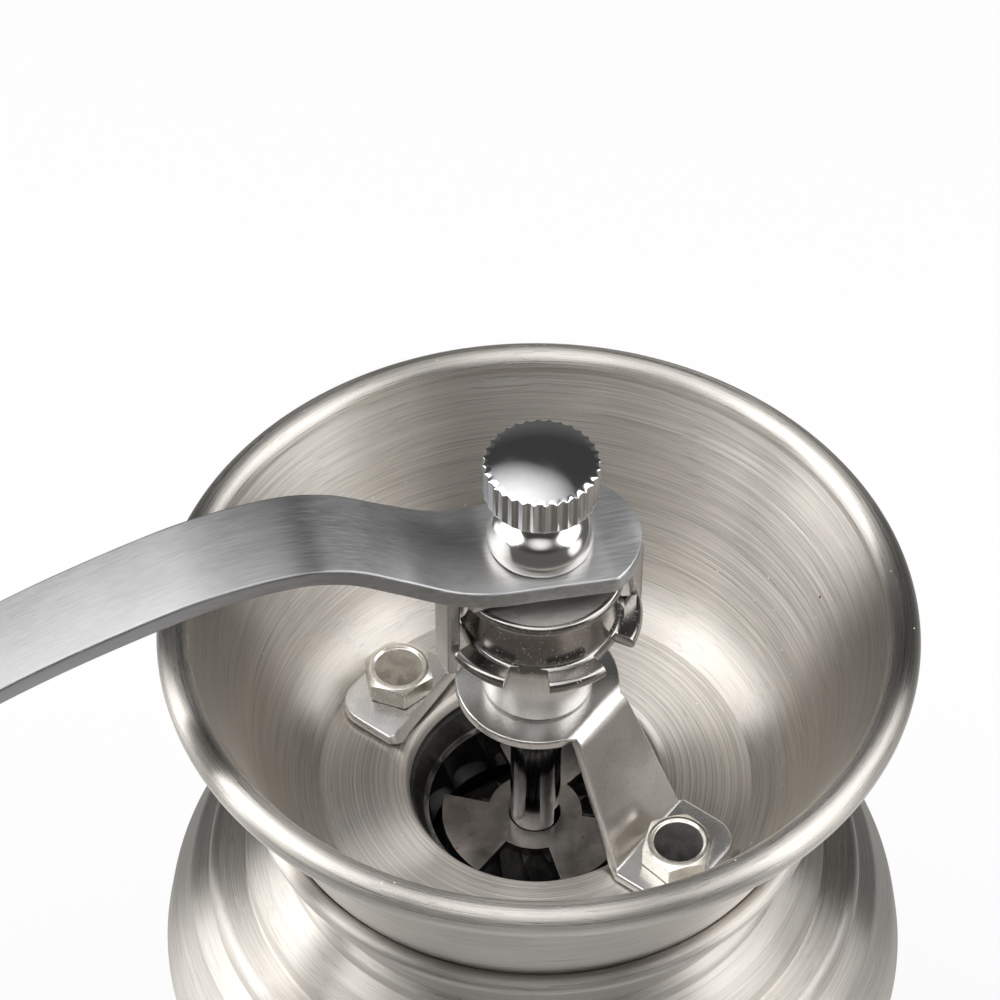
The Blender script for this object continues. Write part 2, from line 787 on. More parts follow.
def upper_bushing():
    deck = top("bridge_bracket") + SEAM
    rounds = (0.6 * MM, 0.5 * MM)
    return bushing("boss", "upper_bushing", SHAFT_RADIUS + GAP, deck, BOSS_RADIUS, rounds, BOSS_EDGE, 128)


def lower_bushing():
    waist_top = top("lower_bushing") - LOWER_FLANGE
    rounds = (BEARING_EDGE, BEARING_EDGE)
    return bushing(
        "bearing", "lower_bushing", JOURNAL_RADIUS + GAP, waist_top, BUSHING_TAIL_RADIUS, rounds,
        BEARING_EDGE, 96,
    )


# Shaft
SHAFT_FLAT = 3 * MM
SHAFT_EDGE = 0.4 * MM
JOURNAL_LENGTH = 8 * MM
DRIVE_HALF = 3.2 * MM
SCREW_HOLE_RADIUS = 3 * MM
SCREW_HOLE_DEPTH = 16 * MM
SHAFT_FLAT_TOP = 109 * MM
FLAT_STEP = 0.02 * MM


def shaft():
    low, high = bottom("shaft"), top("shaft")
    drive_low = bottom("lock_plate") + lock_leg_drop() - SEAM
    profile = [
        (0, low),
        (JOURNAL_RADIUS - SHAFT_EDGE, low),
        (JOURNAL_RADIUS, low + SHAFT_EDGE),
        (JOURNAL_RADIUS, low + JOURNAL_LENGTH),
        (SHAFT_RADIUS, low + JOURNAL_LENGTH),
        (SHAFT_RADIUS, SHAFT_FLAT_TOP),
        (SHAFT_RADIUS, SHAFT_FLAT_TOP + FLAT_STEP),
        (SHAFT_RADIUS, drive_low),
        (SHAFT_RADIUS, drive_low + FLAT_STEP),
        (SHAFT_RADIUS, high - SHAFT_EDGE),
        (SHAFT_RADIUS - SHAFT_EDGE, high),
        (SCREW_HOLE_RADIUS, high),
        (SCREW_HOLE_RADIUS, high - SCREW_HOLE_DEPTH),
        (0, high - SCREW_HOLE_DEPTH),
    ]
    bar = turned("bar", profile, 128, closed=False)
    across = Vector((math.cos(FLAT_TURN), math.sin(FLAT_TURN), 0))
    for vertex in bar.data.vertices:
        place = vertex.co
        if place.z <= SHAFT_FLAT_TOP + FLAT_STEP / 2:
            past = place.dot(across) - SHAFT_FLAT
            if past > 0:
                vertex.co = place - across * past
        elif place.z > drive_low + FLAT_STEP / 2 and abs(place.y) > DRIVE_HALF:
            vertex.co.y = math.copysign(DRIVE_HALF, place.y)
    return shaded(bar, 30)


# Burrs
BURR_RING_RADIUS = 21.7 * MM
BURR_TIP_RADIUS = 16.9 * MM
BURR_MOUTH_RADIUS = 20.3 * MM
BURR_TEETH = 14
BURR_POCKET = 2.1 * MM
BURR_BAND_RADIUS = 17.6 * MM
BURR_BAND_TOP_RADIUS = 19.2 * MM
BURR_BAND_SHARE = 0.845
BURR_FINE_SHARE = 0.42
RIB_SLANT = math.radians(-26)
RIB_START = math.radians(11)
LUG_RADIUS = 6.4 * MM
LUG_HEIGHT = 8 * MM
BURR_RING_DROP = 3.1 * MM
burr_low = bottom("outer_burr")
burr_tall = floor_top - BURR_RING_DROP - burr_low
band_height = burr_low + BURR_BAND_SHARE * burr_tall


def outer_burr():
    low, tall = burr_low, burr_tall
    high = low + tall
    fine_height = low + BURR_FINE_SHARE * tall

    def pocket(r, z):
        inside = r < BURR_RING_RADIUS - 0.5 * MM
        if not inside or z < fine_height + 0.02 * tall or z > band_height - 0.01 * tall:
            return 0.0
        return between(z, band_height - 0.12 * tall, band_height - 0.03 * tall, 1.0, 0.5)

    def slant(r, z):
        return (z - low) / tall

    wall_steps = 12
    inner = [
        (BURR_MOUTH_RADIUS, low + 0.02 * tall),
        (BURR_TIP_RADIUS, fine_height),
        (BURR_TIP_RADIUS, fine_height + 0.04 * tall),
    ]
    inner += [
        (BURR_TIP_RADIUS, fine_height + (0.08 + 0.64 * i / wall_steps) * (high - fine_height))
        for i in range(wall_steps + 1)
    ]
    inner += [
        (BURR_TIP_RADIUS + 0.1 * MM, band_height - 0.012 * tall),
        (BURR_BAND_RADIUS, band_height),
        (BURR_BAND_TOP_RADIUS, high - 0.3 * MM),
        (BURR_BAND_TOP_RADIUS + 0.4 * MM, high),
    ]
    outside = [(BURR_RING_RADIUS, high), (BURR_RING_RADIUS, low), (BURR_MOUTH_RADIUS, low)]
    ring = turned(
        "ring", inner + outside, BURR_TEETH * 18, teeth=BURR_TEETH, depth=BURR_POCKET, power=0.7,
        twist=-RIB_SLANT, tooth_share=pocket, turn_share=slant, sharp_degrees=40,
    )
    ring.data.transform(Matrix.Rotation(RIB_START, 4, "Z"))
    lug_top = top("outer_burr")
    for x, y in bolt_places:
        cut(ring, lug_block(math.atan2(y, x), lug_top - LUG_HEIGHT, lug_top), "UNION")
    drilled(ring, BOLT_RADIUS + GAP, lug_top - LUG_HEIGHT - MM, lug_top + MM, bolt_places)
    return shaded(ring)


def lug_block(turn, low, high):
    start = BURR_RING_RADIUS - 1.2 * MM
    outline = [(start, -LUG_RADIUS)] + arc(BOLT_CIRCLE, 0, LUG_RADIUS, -90, 90, 24) + [(start, LUG_RADIUS)]
    return bevelled(prism("lug", outline, low, high, turn), 0.5 * MM)


CONE_TOP_RADIUS = 9.4 * MM
CONE_WAIST_RADIUS = 16.4 * MM
CONE_FOOT_RADIUS = 19.3 * MM
CONE_TEETH = 14
CONE_GROOVE = 2.6 * MM
CONE_TWIST = math.radians(-64)


def inner_burr():
    low, high = bottom("inner_burr"), top("inner_burr")
    tall = high - low
    bore = SHAFT_RADIUS + GAP / 3

    def share(r, z):
        return (z - low) / tall

    def groove(r, z):
        return between(share(r, z), 0.3, 0.46, 0.27, 1.0) if r >= bore + 0.2 * MM else 0.0

    outer = spline([
        (CONE_FOOT_RADIUS - 2.4 * MM, low),
        (CONE_FOOT_RADIUS - 0.3 * MM, low + 0.1 * tall),
        (CONE_WAIST_RADIUS + 0.7 * MM, low + 0.34 * tall),
        (CONE_WAIST_RADIUS, low + 0.46 * tall),
        ((CONE_TOP_RADIUS + CONE_WAIST_RADIUS) / 2, low + 0.72 * tall),
        (CONE_TOP_RADIUS, high),
    ], 6)
    profile = [(bore, low)] + outer + [(bore + 1 * MM, high), (bore, high)]
    return turned(
        "cone", profile, CONE_TEETH * 16, teeth=CONE_TEETH, depth=-CONE_GROOVE, power=0.75,
        twist=CONE_TWIST, tooth_share=groove, turn_share=share, sharp_degrees=40,
    )


# Feed plate
FEED_RADIUS = 14.8 * MM
FEED_HUB_RADIUS = 7.5 * MM
FEED_LOBES = 3
FEED_LOBE_SPREAD = math.radians(66)
FEED_FIRST_LOBE = math.radians(185)
FEED_HUB_CORNER = 0.3 * MM
FEED_LOBE_CORNER = 1 * MM


def feed_outline():
    """Lobes between which the hub's edge shows, with rounded corners."""
    half = FEED_LOBE_SPREAD / 2
    corners = []
    for i in range(FEED_LOBES):
        turn = FEED_FIRST_LOBE + i * FULL_TURN / FEED_LOBES
        corners += [
            (FEED_HUB_RADIUS, turn - half, FEED_HUB_CORNER), (FEED_RADIUS, turn - half, FEED_LOBE_CORNER),
            (FEED_RADIUS, turn + half, FEED_LOBE_CORNER), (FEED_HUB_RADIUS, turn + half, FEED_HUB_CORNER),
        ]
    line = []
    for (radius, turn, round_), (next_radius, next_turn, _) in zip(corners, corners[1:] + corners[:1]):
        if next_turn < turn:
            next_turn += FULL_TURN
        steps = 24 if next_radius == radius else 1
        for i in range(steps):
            a = turn + (next_turn - turn) * i / steps
            line.append((radius * math.cos(a), radius * math.sin(a), 0 if i else round_))
    return filleted(line + line[:1], 5)[:-1]


def feed_plate():
    low, high = bottom("feed_plate"), top("feed_plate")
    plate = prism("feed", feed_outline(), low, high)
    drilled(plate, SHAFT_RADIUS + GAP / 3, low - MM, high + MM, segments=96)
    return bevelled(plate, 0.2 * MM, 3, 40)


# Adjusting nut
NUT_FLANGE_RADIUS = 15.6 * MM
NUT_FLANGE = 2 * MM
NUT_TOP_RADIUS = 12.8 * MM
NUT_TOP = 1.6 * MM
NUT_WAIST_RADIUS = 11.9 * MM
NUT_SKIRT_RADIUS = 9.6 * MM
NUT_SKIRT = 1.2 * MM
NUT_BORE_EDGE = 0.3 * MM
NUT_NOTCHES = 6
NOTCH_SPREAD = math.radians(26)
NOTCH_DEPTH = 3.4 * MM


def adjusting_nut():
    low, high = bottom("adjusting_nut"), top("adjusting_nut")
    bore = SHAFT_RADIUS + GAP
    flange_low = low + NUT_SKIRT
    flange_high = flange_low + NUT_FLANGE
    waist_top = high - NUT_TOP
    tall = waist_top - flange_high
    flare = NUT_FLANGE_RADIUS - NUT_WAIST_RADIUS
    waist = spline([
        (NUT_WAIST_RADIUS + out * flare, flange_high + up * tall)
        for out, up in ((0.26, 0.01), (0.08, 0.05), (0, 0.15))
    ], 5)
    corners = [
        (bore, low, NUT_BORE_EDGE),
        (NUT_SKIRT_RADIUS, low, 0.25 * MM),
        (NUT_SKIRT_RADIUS, flange_low, 0),
        (NUT_FLANGE_RADIUS, flange_low, 0.8 * MM),
        (NUT_FLANGE_RADIUS, flange_high, 1.0 * MM),
    ]
    corners += [p + (0,) for p in waist]
    corners += [
        (NUT_WAIST_RADIUS, waist_top, 0.35 * MM),
        (NUT_TOP_RADIUS, waist_top + 0.1 * MM, 0.7 * MM),
        (NUT_TOP_RADIUS, high, 0.75 * MM),
        (bore, high, NUT_BORE_EDGE),
    ]
    nut = turned("nut", closed_fillets(corners, 5), sharp_degrees=45)
    for i in range(NUT_NOTCHES):
        turn = NUT_TURN + i * FULL_TURN / NUT_NOTCHES
        cut(nut, notch_wedge(turn, low - MM, flange_high + 0.22 * tall), "DIFFERENCE")
    return bevelled(nut, 0.18 * MM, 3, 50)


def notch_wedge(turn, low, high):
    inner = NUT_FLANGE_RADIUS - NOTCH_DEPTH
    outer = NUT_FLANGE_RADIUS + 3 * MM
    spread = math.tan(NOTCH_SPREAD / 2)
    outline = [(x, side * x * spread) for x, side in ((inner, -1), (outer, -1), (outer, 1), (inner, 1))]
    return prism("wedge", outline, low, high, turn)


# Lock plate under the crank
LOCK_GAUGE = 2 * MM
LOCK_EDGE = 0.2
LOCK_BEND = 1.9 * MM
LOCK_REACH = 15.9 * MM
LOCK_WIDTH = 11.6 * MM
LOCK_LEG_WIDTH = 5.6 * MM


def lock_leg_drop():
    return top("lock_plate") - bottom("lock_plate") - LOCK_GAUGE


def lock_plate():
    high = top("lock_plate") - LOCK_GAUGE / 2
    low = bottom("lock_plate")
    leg = LOCK_REACH - LOCK_GAUGE / 2 - GAP / 2
    half_line = filleted([(0, high, 0), (leg, high, LOCK_BEND), (leg, low, 0)], 10)
    line = mirrored(resampled(half_line, 0.4 * MM))

    def half_width(x, z):
        leg_half = LOCK_LEG_WIDTH / 2
        if z < high - 1.6 * MM:
            return min(leg_half, leg_half - 0.7 * MM + max(z - low, 0))
        plate_half = min(LOCK_WIDTH / 2, math.sqrt(max(LOCK_REACH ** 2 - x ** 2, 0)))
        if x > leg - LOCK_BEND:
            return between(x, leg - LOCK_BEND, leg - 0.5 * MM, plate_half, leg_half)
        return plate_half

    half_widths = [half_width(abs(x), z) for x, z in line]
    plate = strip("lock", line, half_widths, LOCK_GAUGE, LOCK_TURN, LOCK_EDGE)
    drilled(plate, SHAFT_RADIUS + GAP, high - DRILL_REACH, high + DRILL_REACH)
    return shaded(plate)


# Crank arm
ARM_GAUGE = 3 * MM
ARM_EDGE = 0.16
ARM_HUB_WIDTH = 20.8 * MM
ARM_HUB_END_RADIUS = 11.7 * MM
ARM_HUB_END_OFFSET = 3.5 * MM
ARM_NECK_WIDTH = 17.2 * MM
ARM_WIDTH = 15.6 * MM
ARM_REACH = 130 * MM
ARM_RISE = 11.4 * MM
ARM_DROP = 16 * MM
ARM_DRILL_REACH = 4 * MM
arm_rise_shares = (
    (0.07, 0), (0.118, 0.14), (0.175, 0.5), (0.235, 0.87),
    (0.3, 1), (0.395, 0.868), (0.5, 0.5), (0.603, 0.04),
)
arm_drop_shares = ((0.73, 0.46), (0.83, 0.82), (0.9, 0.97), (0.95, 1), (1.07, 1))
NECK_SHARE = 0.1
BAR_SHARE = 0.23


def arm_half_width(x):
    hub, neck, bar = ARM_HUB_WIDTH / 2, ARM_NECK_WIDTH / 2, ARM_WIDTH / 2
    neck_x = NECK_SHARE * ARM_REACH
    bar_x = BAR_SHARE * ARM_REACH
    end_x = -ARM_HUB_END_OFFSET - math.sqrt(ARM_HUB_END_RADIUS ** 2 - hub ** 2)
    if x < end_x:
        return math.sqrt(max(ARM_HUB_END_RADIUS ** 2 - (x + ARM_HUB_END_OFFSET) ** 2, 0))
    if x < neck_x:
        return between(x, end_x, neck_x, hub, neck)
    if x < bar_x:
        share = (x - neck_x) / (bar_x - neck_x)
        return neck + (bar - neck) * share * (2 - share)
    if x > ARM_REACH:
        return math.sqrt(max(bar ** 2 - (x - ARM_REACH) ** 2, 0))
    return bar


def crank_arm():
    crown = top("lock_plate") + SEAM + ARM_GAUGE / 2
    outer = crown - ARM_DROP
    bends = [(0.02 * ARM_REACH, crown)]
    bends += [(ARM_REACH * out, crown + ARM_RISE * up) for out, up in arm_rise_shares]
    bends += [(ARM_REACH * out, crown - ARM_DROP * down) for out, down in arm_drop_shares]
    quarter = [i / 16 * math.pi / 2 for i in range(17)]
    hub_round = [(-ARM_HUB_END_OFFSET - ARM_HUB_END_RADIUS * math.cos(a), crown) for a in quarter]
    outer_round = [(ARM_REACH + ARM_WIDTH / 2 * math.sin(a), outer) for a in quarter]
    line = hub_round + [p for p in spline(bends, 10) if p[0] < ARM_REACH] + outer_round
    fine = resampled(line, 0.8 * MM)
    arm = strip("arm", fine, [arm_half_width(x) for x, _ in fine], ARM_GAUGE, CRANK_TURN, ARM_EDGE)
    drilled(arm, SHAFT_RADIUS + GAP, crown - ARM_DRILL_REACH, crown + ARM_DRILL_REACH)
    knob_place = [centre_of("knob_spindle")]
    drilled(arm, JOURNAL_RADIUS + GAP, outer - ARM_DRILL_REACH, outer + ARM_DRILL_REACH, knob_place)
    return shaded(arm)


# Collar and thumb screw
COLLAR_RADIUS = 8 * MM
COLLAR_NECK_RADIUS = 3.9 * MM
SCREW_HEAD_RADIUS = 8.6 * MM
SCREW_HEAD = 7.1 * MM
SCREW_CROWN = 1.1 * MM
CROWN_POWER = 2.2
SCREW_NECK_RADIUS = 3 * MM
SCREW_NECK = 3.4 * MM
SCREW_SHANK_RADIUS = 2.6 * MM
SCREW_TIP = 0.4 * MM
NECK_RING_RADIUS = 5.1 * MM
NECK_RING = 1.1 * MM
SCREW_FLUTES = 32
FLUTE_DEPTH = 0.4 * MM


def dome_collar():
    low, high = bottom("dome_collar"), top("dome_collar")
    tall = high - low
    bore = SCREW_SHANK_RADIUS + GAP
    shares = ((1, 0.1), (0.985, 0.3), (0.86, 0.58), (0.63, 0.8))
    dome = spline([(COLLAR_RADIUS * out, low + up * tall) for out, up in shares] + [
        (COLLAR_NECK_RADIUS + 0.2 * MM, low + 0.96 * tall), (COLLAR_NECK_RADIUS, high),
    ], 8)
    return turned("collar", [(bore, low), (COLLAR_RADIUS - 0.3 * MM, low)] + dome + [(bore, high)], 128)


def thumb_screw():
    low, high = bottom("thumb_screw"), top("thumb_screw")
    head_low = high - SCREW_HEAD
    seat = head_low - SCREW_NECK
    rim = SCREW_HEAD_RADIUS

    def crown(share):
        """A point of the domed top, at a share of the head's radius."""
        return rim * share, high - SCREW_CROWN * share ** CROWN_POWER

    profile = [
        (0, low),
        (SCREW_SHANK_RADIUS - SCREW_TIP, low),
        (SCREW_SHANK_RADIUS, low + SCREW_TIP),
        (SCREW_SHANK_RADIUS, seat),
        (SCREW_NECK_RADIUS, seat),
        (SCREW_NECK_RADIUS, head_low - NECK_RING),
        (NECK_RING_RADIUS - 0.3 * MM, head_low - NECK_RING),
        (NECK_RING_RADIUS, head_low - 0.7 * NECK_RING),
        (NECK_RING_RADIUS, head_low),
    ]
    profile += filleted([
        (NECK_RING_RADIUS + 0.02 * MM, head_low, 0),
        (rim, head_low, 0.45 * MM),
        (rim, high - SCREW_CROWN, 0.09 * MM),
        crown(1 - 1.2 * FLUTE_DEPTH / rim) + (0,),
    ], 5)
    dome_steps = 14
    profile += [crown(1 - i / dome_steps) for i in range(2, dome_steps + 1)]

    def flute(r, z):
        if z < head_low - 0.01 * MM:
            return 0.0
        return between(r, rim - 0.8 * FLUTE_DEPTH, rim, 0, 1)

    return turned(
        "screw", profile, SCREW_FLUTES * 12, teeth=SCREW_FLUTES, depth=-FLUTE_DEPTH, power=1.3,
        tooth_share=flute, closed=False, sharp_degrees=50,
    )


# Knob
KNOB_RADIUS = 14.5 * MM
KNOB_FOOT_RADIUS = 8.4 * MM
KNOB_RECESS_RADIUS = 6 * MM
KNOB_RECESS_DEPTH = 2.6 * MM
SPINDLE_RADIUS = 3 * MM
SPINDLE_HEAD_RADIUS = 5.3 * MM
SPINDLE_HEAD = 1.8 * MM
knob_side_shares = (
    (0, 0.04), (0.06, 0.16), (0.36, 0.34), (0.82, 0.54), (1, 0.72), (0.9, 0.88), (0.66, 0.97),
)


def handle_knob():
    low, high = bottom("handle_knob"), top("handle_knob")
    tall = high - low
    grow = KNOB_RADIUS - KNOB_FOOT_RADIUS
    recess_edge = (KNOB_RECESS_RADIUS + 0.5 * MM, high)
    floor = high - KNOB_RECESS_DEPTH
    bore = SPINDLE_RADIUS + GAP
    side = [(KNOB_FOOT_RADIUS - 0.2 * MM, low)]
    side += [(KNOB_FOOT_RADIUS + out * grow, low + up * tall) for out, up in knob_side_shares]
    side += [(KNOB_FOOT_RADIUS + 0.2 * grow, high - 0.05 * MM), recess_edge]
    recess = filleted([
        recess_edge + (0,),
        (KNOB_RECESS_RADIUS, high, 0.4 * MM),
        (KNOB_RECESS_RADIUS, floor, 0.3 * MM),
        (bore, floor, 0),
    ])
    profile = spline(side, 8) + recess[1:] + [(bore, low)]
    return turned("knob", profile, 160, centre_of("handle_knob"))


def knob_spindle():
    low, high = bottom("knob_spindle"), top("knob_spindle")
    head = high - SPINDLE_HEAD
    profile = filleted([
        (0, low, 0),
        (SPINDLE_RADIUS, low, 0.4 * MM),
        (SPINDLE_RADIUS, head, 0),
        (SPINDLE_HEAD_RADIUS, head, 0.3 * MM),
        (SPINDLE_HEAD_RADIUS, high, 0.9 * MM),
        (0, high, 0),
    ])
    return turned("spindle", profile, 96, centre_of("knob_spindle"), closed=False)


# Materials
def colour(red, green, blue):
    return (red, green, blue, 1.0)


def shade(tint, share):
    return colour(*(share * part for part in tint[:3]))


WHITE = colour(1, 1, 1)
FLOOR_WHITE = colour(0.88, 0.88, 0.88)
SPUN_TINT = colour(0.8, 0.76, 0.705)
SHEET_TINT = colour(0.76, 0.745, 0.73)
BOSS_TINT = colour(0.84, 0.825, 0.8)
BAR_TINT = colour(0.47, 0.47, 0.473)
ZINC_TINT = colour(0.8, 0.765, 0.7)
CHROME_TINT = colour(0.78, 0.78, 0.79)
COLLAR_TINT = colour(0.8, 0.78, 0.745)
NUT_TINT = colour(0.42, 0.4, 0.38)
HUSK_BROWN = colour(0.3, 0.1, 0.04)
PALE_DUST = colour(0.86, 0.82, 0.74)
GREY_DUST = colour(0.5, 0.47, 0.42)
DULL_FACE = colour(0.62, 0.6, 0.57)
WORN_IRON = colour(0.42, 0.4, 0.37)
RUST = colour(0.26, 0.1, 0.035)


class Look(Tree):
    """A material's tree, with its shader and the place on the piece, counted from a centre."""

    def __init__(self, name, centre=None):
        self.material = bpy.data.materials.new(name)
        self.material.use_nodes = True
        super().__init__(self.material.node_tree)
        self.shader = self.tree.nodes["Principled BSDF"]
        self.place = self.add("ShaderNodeTexCoord").outputs["Object"]
        if centre:
            self.place = self.vector_maths("SUBTRACT", self.place, centre)

    def round_axis(self, place=None):
        """Distance from the Z axis, height, and the direction round it as its cosine and sine."""
        x, y, height = self.parts(place or self.place)
        flat = self.vector(x, y)
        cosine, sine, _ = self.parts(self.vector_maths("NORMALIZE", flat))
        return self.vector_maths("LENGTH", flat, out="Value"), height, cosine, sine

    def noise(self, scale, detail=3.0, roughness=0.5, place=None, w=None):
        inputs = {"Vector": place or self.place, "Scale": scale, "Detail": detail, "Roughness": roughness}
        if w:
            inputs["W"] = w
        return self.add("ShaderNodeTexNoise", inputs, noise_dimensions="4D" if w else "3D").outputs["Fac"]

    def round_streaks(self, spacing, arcs, detail, place=None):
        """Fine arcs round the Z axis: spacing apart, and arcs of them in a radian."""
        radius, height, cosine, sine = self.round_axis(place)
        lines = self.vector(self.over(radius, spacing), self.over(height, spacing), self.times(cosine, arcs))
        return self.noise(1.0, detail, 0.6, lines, self.times(sine, arcs))

    def brushed(self, tangent, share):
        self.fill(self.shader.inputs["Tangent"], tangent)
        self.shader.inputs["Anisotropic"].default_value = share
        self.shader.inputs["Anisotropic Rotation"].default_value = 0.25

    def surface(self, base, dull, grain, depth, metallic=1.0):
        """Fills the shader. The bump is grain, with depth as its height."""
        bump = self.add("ShaderNodeBump", {"Height": grain, "Distance": depth, "Strength": 1.0})
        inputs = {
            "Base Color": base, "Roughness": dull, "Metallic": metallic, "Normal": bump.outputs["Normal"],
        }
        for name, value in inputs.items():
            self.fill(self.shader.inputs[name], value)
        return self.material


def spun_steel(name, flakes=False, turned_to=0.0, rim_from=0.0):
    """Steel brushed round the axis: long fine arcs, a few deeper ones, and turned rings near the
    axis, out to the radius turned_to. The rim beyond rim_from is smoother."""
    look = Look(name)
    waves = look.vector(z=look.times(look.noise(30.0, 2.0), 5 * MM))
    crossed = look.vector_maths("ADD", look.place, waves)
    fine = look.round_streaks(0.11 * MM, 2.0, 1.0)
    broad = look.round_streaks(0.42 * MM, 1.3, 2.0)
    crossing = look.round_streaks(0.13 * MM, 3.0, 1.0, crossed)
    grain = look.times_plus(crossing, 0.25, look.times_plus(fine, 0.5, look.times(broad, 0.25)))
    if turned_to:
        near = look.ranged(look.round_axis()[0], turned_to, turned_to - MM, 0.0, 0.8)
        inputs = {"Factor": near, 2: grain, 3: look.round_streaks(0.19 * MM, 0.4, 1.0)}
        grain = look.add("ShaderNodeMix", inputs, data_type="FLOAT").outputs[0]
    scratch = look.ranged(look.round_streaks(0.16 * MM, 1.6, 0.0, crossed), 0.64, 0.74, 0.0, 0.5)
    light = look.times_plus(look.noise(28.0), 0.3, grain)
    base = look.mixed(look.ranged(light, 0.48, 0.82), shade(SPUN_TINT, 0.58), SPUN_TINT)
    base = look.mixed(scratch, base, shade(SPUN_TINT, 0.45))
    base, bare = chaff(look, base) if flakes else (base, 1.0)
    dull = look.ranged(grain, 0.35, 0.65, 0.29, 0.44)
    if rim_from:
        blend = 0.2 * MM
        on_rim = look.ranged(look.round_axis()[0], rim_from - blend, rim_from + blend, 0.0, 0.06)
        dull = look.less(dull, on_rim)
    look.brushed(look.vector_maths("CROSS_PRODUCT", look.vector(z=1.0), look.place), 1.0)
    return look.surface(base, dull, grain, 0.03 * MM, bare)


def chaff(look, base):
    """A few rust-brown flakes of bean husk and pale dust: the colour, and where the metal shows."""
    def specks(scale, size, rarity):
        cells = look.add("ShaderNodeTexVoronoi", {"Vector": look.place, "Scale": scale}, feature="F1")
        rare = look.add("ShaderNodeSeparateColor", {0: cells.outputs["Color"]}).outputs[0]
        spot = look.maths("LESS_THAN", cells.outputs["Distance"], size)
        return look.times(spot, look.maths("GREATER_THAN", rare, rarity))

    husks = specks(150.0, 0.075, 0.94)
    dust = specks(520.0, 0.085, 0.9)
    base = look.mixed(husks, look.mixed(dust, base, PALE_DUST), HUSK_BROWN)
    return base, look.less(1.0, look.maths("MAXIMUM", husks, dust))


def stamped_steel(name, tint, rough):
    """Sheet steel with a fine blasted grain and worn patches."""
    look = Look(name)
    grain = look.noise(2600.0, 1.0)
    cloud = look.noise(150.0, 2.0)
    light = look.times_plus(grain, 0.7, cloud)
    base = look.mixed(look.ranged(light, 0.62, 1.05), shade(tint, 0.84), tint)
    dull = look.ranged(cloud, 0.35, 0.65, rough - 0.02, rough + 0.03)
    return look.surface(base, dull, grain, 0.01 * MM)


def drawn_steel(name):
    """Bar steel brushed along its length, which runs along X, and rubbed brighter round the hub."""
    look = Look(name)
    x, y, z = look.parts(look.place)

    def lines(spacing, length):
        place = look.vector(look.over(x, length), look.over(y, spacing), look.over(z, 8 * spacing))
        return look.noise(1.0, 1.0, place=place)

    grain = look.times_plus(lines(0.1 * MM, 4 * MM), 0.72, look.times(lines(0.4 * MM, 12 * MM), 0.28))
    light = look.times_plus(look.noise(70.0), 0.5, grain)
    rubbed = look.ranged(look.round_axis()[0], 0.6 * ARM_HUB_WIDTH, 1.5 * ARM_HUB_WIDTH, 1.0, 0.0)
    clean = look.mixed(rubbed, BAR_TINT, shade(BAR_TINT, 1.45))
    base = look.mixed(look.ranged(light, 0.55, 0.95, 0.74, 1.0), colour(0, 0, 0), clean)
    look.brushed(look.vector(x=1.0), 0.8)
    return look.surface(base, look.ranged(grain, 0.35, 0.65, 0.33, 0.43), grain, 0.012 * MM)


def polished(name, tint, rough, spots=0.0, face=None):
    """Bright plating with faint smudges, and dust specks and a dull top face if asked."""
    look = Look(name)
    smudge = look.noise(320.0, 4.0, 0.6)
    base = look.mixed(look.ranged(smudge, 0.35, 0.7), tint, shade(tint, 0.93))
    bare = 1.0
    if spots:
        specks = look.ranged(look.noise(2400.0, 1.0), 0.67, 0.71, 0.0, spots)
        base = look.mixed(specks, base, GREY_DUST)
        bare = look.less(1.0, specks)
    dull = look.ranged(smudge, 0.3, 0.75, rough, rough + 0.08)
    if face:
        face_radius, face_height = face
        radius, height, _, _ = look.round_axis()
        raised = look.ranged(height, face_height - 0.05 * MM, face_height - 0.02 * MM)
        on_face = look.times(raised, look.ranged(radius, face_radius - 0.2 * MM, face_radius, 1.0, 0.0))
        base = look.mixed(on_face, base, DULL_FACE)
        dull = look.times_plus(on_face, 0.34, dull)
    return look.surface(base, dull, look.noise(900.0, 2.0), 0.003 * MM, bare)


def plated(name, centre, disc=None):
    """Zinc plating with turning marks round a piece's own axis; disc tints the dished top."""
    look = Look(name, centre)
    marks = look.round_streaks(0.2 * MM, 3.0, 1.0)
    cloud = look.noise(420.0)
    light = look.times_plus(cloud, 0.7, look.times(marks, 0.6))
    base = look.mixed(look.ranged(light, 0.45, 0.85), shade(ZINC_TINT, 0.86), ZINC_TINT)
    if disc:
        radius, height, _, _ = look.round_axis()
        edge = DISC_SHARE * HEX_WIDTH
        inside = look.ranged(radius, edge, edge - 0.1 * MM)
        upper = look.maths("GREATER_THAN", height, -2 * BOLT_DISH)
        stained = look.mixed(look.ranged(light, 0.45, 0.8), shade(disc, 0.7), disc)
        base = look.mixed(look.times(inside, upper), base, stained)
    return look.surface(
        base, look.ranged(cloud, 0.3, 0.7, 0.22, 0.32), look.plus(marks, cloud), 0.0016 * MM,
    )


def cast_iron(name, worn_height=None):
    """Dull black iron, rubbed light along the edge at worn_height."""
    look = Look(name)
    sand = look.noise(1900.0, 4.0, 0.65)
    cloud = look.noise(240.0)
    worn = look.ranged(look.times_plus(sand, 0.5, cloud), 0.72, 0.95)
    base = look.mixed(worn, colour(0.018, 0.0175, 0.017), colour(0.06, 0.057, 0.054))
    if worn_height:
        away = look.maths("ABSOLUTE", look.less(look.parts(look.place)[2], worn_height))
        near = look.ranged(away, 0.35 * MM, 0.1 * MM)
        base = look.mixed(look.times(near, look.ranged(cloud, 0.35, 0.55, 0.1, 0.7)), base, WORN_IRON)
    return look.surface(base, look.ranged(sand, 0.3, 0.75, 0.38, 0.6), sand, 0.02 * MM, 0.3)


